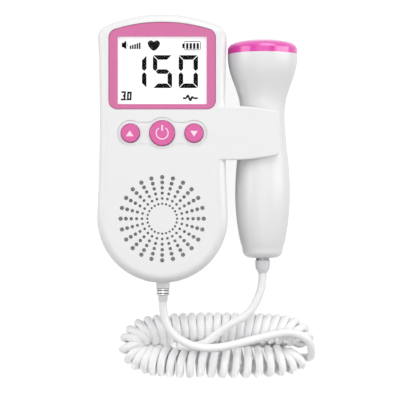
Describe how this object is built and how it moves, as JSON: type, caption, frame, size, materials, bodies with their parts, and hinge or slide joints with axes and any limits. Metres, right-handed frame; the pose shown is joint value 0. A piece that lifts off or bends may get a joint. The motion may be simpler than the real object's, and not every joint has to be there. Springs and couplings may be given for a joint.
{
  "type": "fetal doppler monitor",
  "caption": "Hand-held fetal doppler: display unit with keys and round speaker grille, club-shaped ultrasonic probe in a side clip, curly cord between them.",
  "frame": {"origin": "centre of the main unit's flat back, on the surface that it lies on", "axes": "+X to the unit's right, where the probe is; +Y towards the unit's top; +Z out of its front"},
  "size_m": [0.1127, 0.1874, 0.0367],
  "materials": {
    "white_shell": "smooth white ABS, half gloss",
    "pink_gloss": "glossy pink ABS",
    "display_lens": "clear lens",
    "display": "pale liquid-crystal glass",
    "milky": "milky light guide",
    "dark_plastic": "black moulded plastic",
    "rubber_strip": "pink and black connector strip",
    "board": "green solder mask",
    "aluminium": "aluminium cans",
    "steel": "zinc-plated steel",
    "chrome": "polished plating",
    "brass": "gold-plated brass",
    "mesh_cloth": "grey acoustic cloth",
    "foam_rubber": "soft black foam rubber",
    "paper_cone": "treated paper",
    "cell": "plain printed sleeve",
    "white_soft": "white soft PVC",
    "cord": "glossy white PVC jacket",
    "crystal": "ceramic with silvered faces"
  },
  "bodies": {
    "main_unit": {"front_shell": "white_shell", "rear_shell": "white_shell", "case_screws": "steel", "bezel": "pink_gloss", "lcd_window": "display_lens", "lcd_panel": "display", "lcd_backlight": "milky", "lcd_frame": "dark_plastic", "lcd_connectors": "rubber_strip", "main_pcb": "board", "pcb_screws": "steel", "controller_chip": "dark_plastic", "amplifier_chips": "dark_plastic", "capacitors": "aluminium", "tact_switches": "dark_plastic", "grille_screen": "mesh_cloth", "speaker_gasket": "foam_rubber", "speaker_frame": "steel", "speaker_cone": "paper_cone", "speaker_magnet": "steel", "battery_left": "cell", "battery_right": "cell", "battery_contacts": "steel", "battery_springs": "steel", "earphone_jack": "dark_plastic", "port_collar": "white_soft", "probe_socket": "dark_plastic", "lead_unit": "cord", "lead_probe": "cord", "cord_coil": "cord"},
    "power_key": {"power_button": "pink_gloss", "power_plunger": "dark_plastic"},
    "up_key": {"up_button": "pink_gloss", "up_plunger": "dark_plastic"},
    "down_key": {"down_button": "pink_gloss", "down_plunger": "dark_plastic"},
    "door": {"battery_door": "white_shell"},
    "plug": {"plug_ring": "chrome", "plug_body": "dark_plastic", "plug_pin": "brass", "plug_boot": "white_soft"},
    "probe": {"probe_shell_front": "white_shell", "probe_shell_rear": "white_shell", "transducer_cap": "pink_gloss", "cap_seal": "foam_rubber", "piezo_crystals": "crystal", "crystal_backing": "dark_plastic", "probe_pcb": "board", "probe_gland": "chrome", "probe_boot": "white_soft"}
  },
  "joints": [
    {"name": "power_press", "type": "slide", "parent": "main_unit", "child": "power_key", "axis": [0, 0, -1], "range_m": [0, 0.0005], "stiffness_N_per_m": 1600, "springref_m": -0.0003},
    {"name": "up_press", "type": "slide", "parent": "main_unit", "child": "up_key", "axis": [0, 0, -1], "range_m": [0, 0.0005], "stiffness_N_per_m": 1600, "springref_m": -0.0003},
    {"name": "down_press", "type": "slide", "parent": "main_unit", "child": "down_key", "axis": [0, 0, -1], "range_m": [0, 0.0005], "stiffness_N_per_m": 1600, "springref_m": -0.0003},
    {"name": "door_slide", "type": "slide", "parent": "main_unit", "child": "door", "axis": [0, 1, 0], "range_m": [0, 0.065]},
    {"name": "plug_pull", "type": "slide", "parent": "main_unit", "child": "plug", "axis": [0, -1, 0], "range_m": [0, 0.016], "deforming": ["lead_unit"]},
    {"name": "probe_release", "type": "slide", "parent": "main_unit", "child": "probe", "axis": [1, 0, 0], "range_m": [0, 0.026], "deforming": ["lead_probe"]}
  ]
}
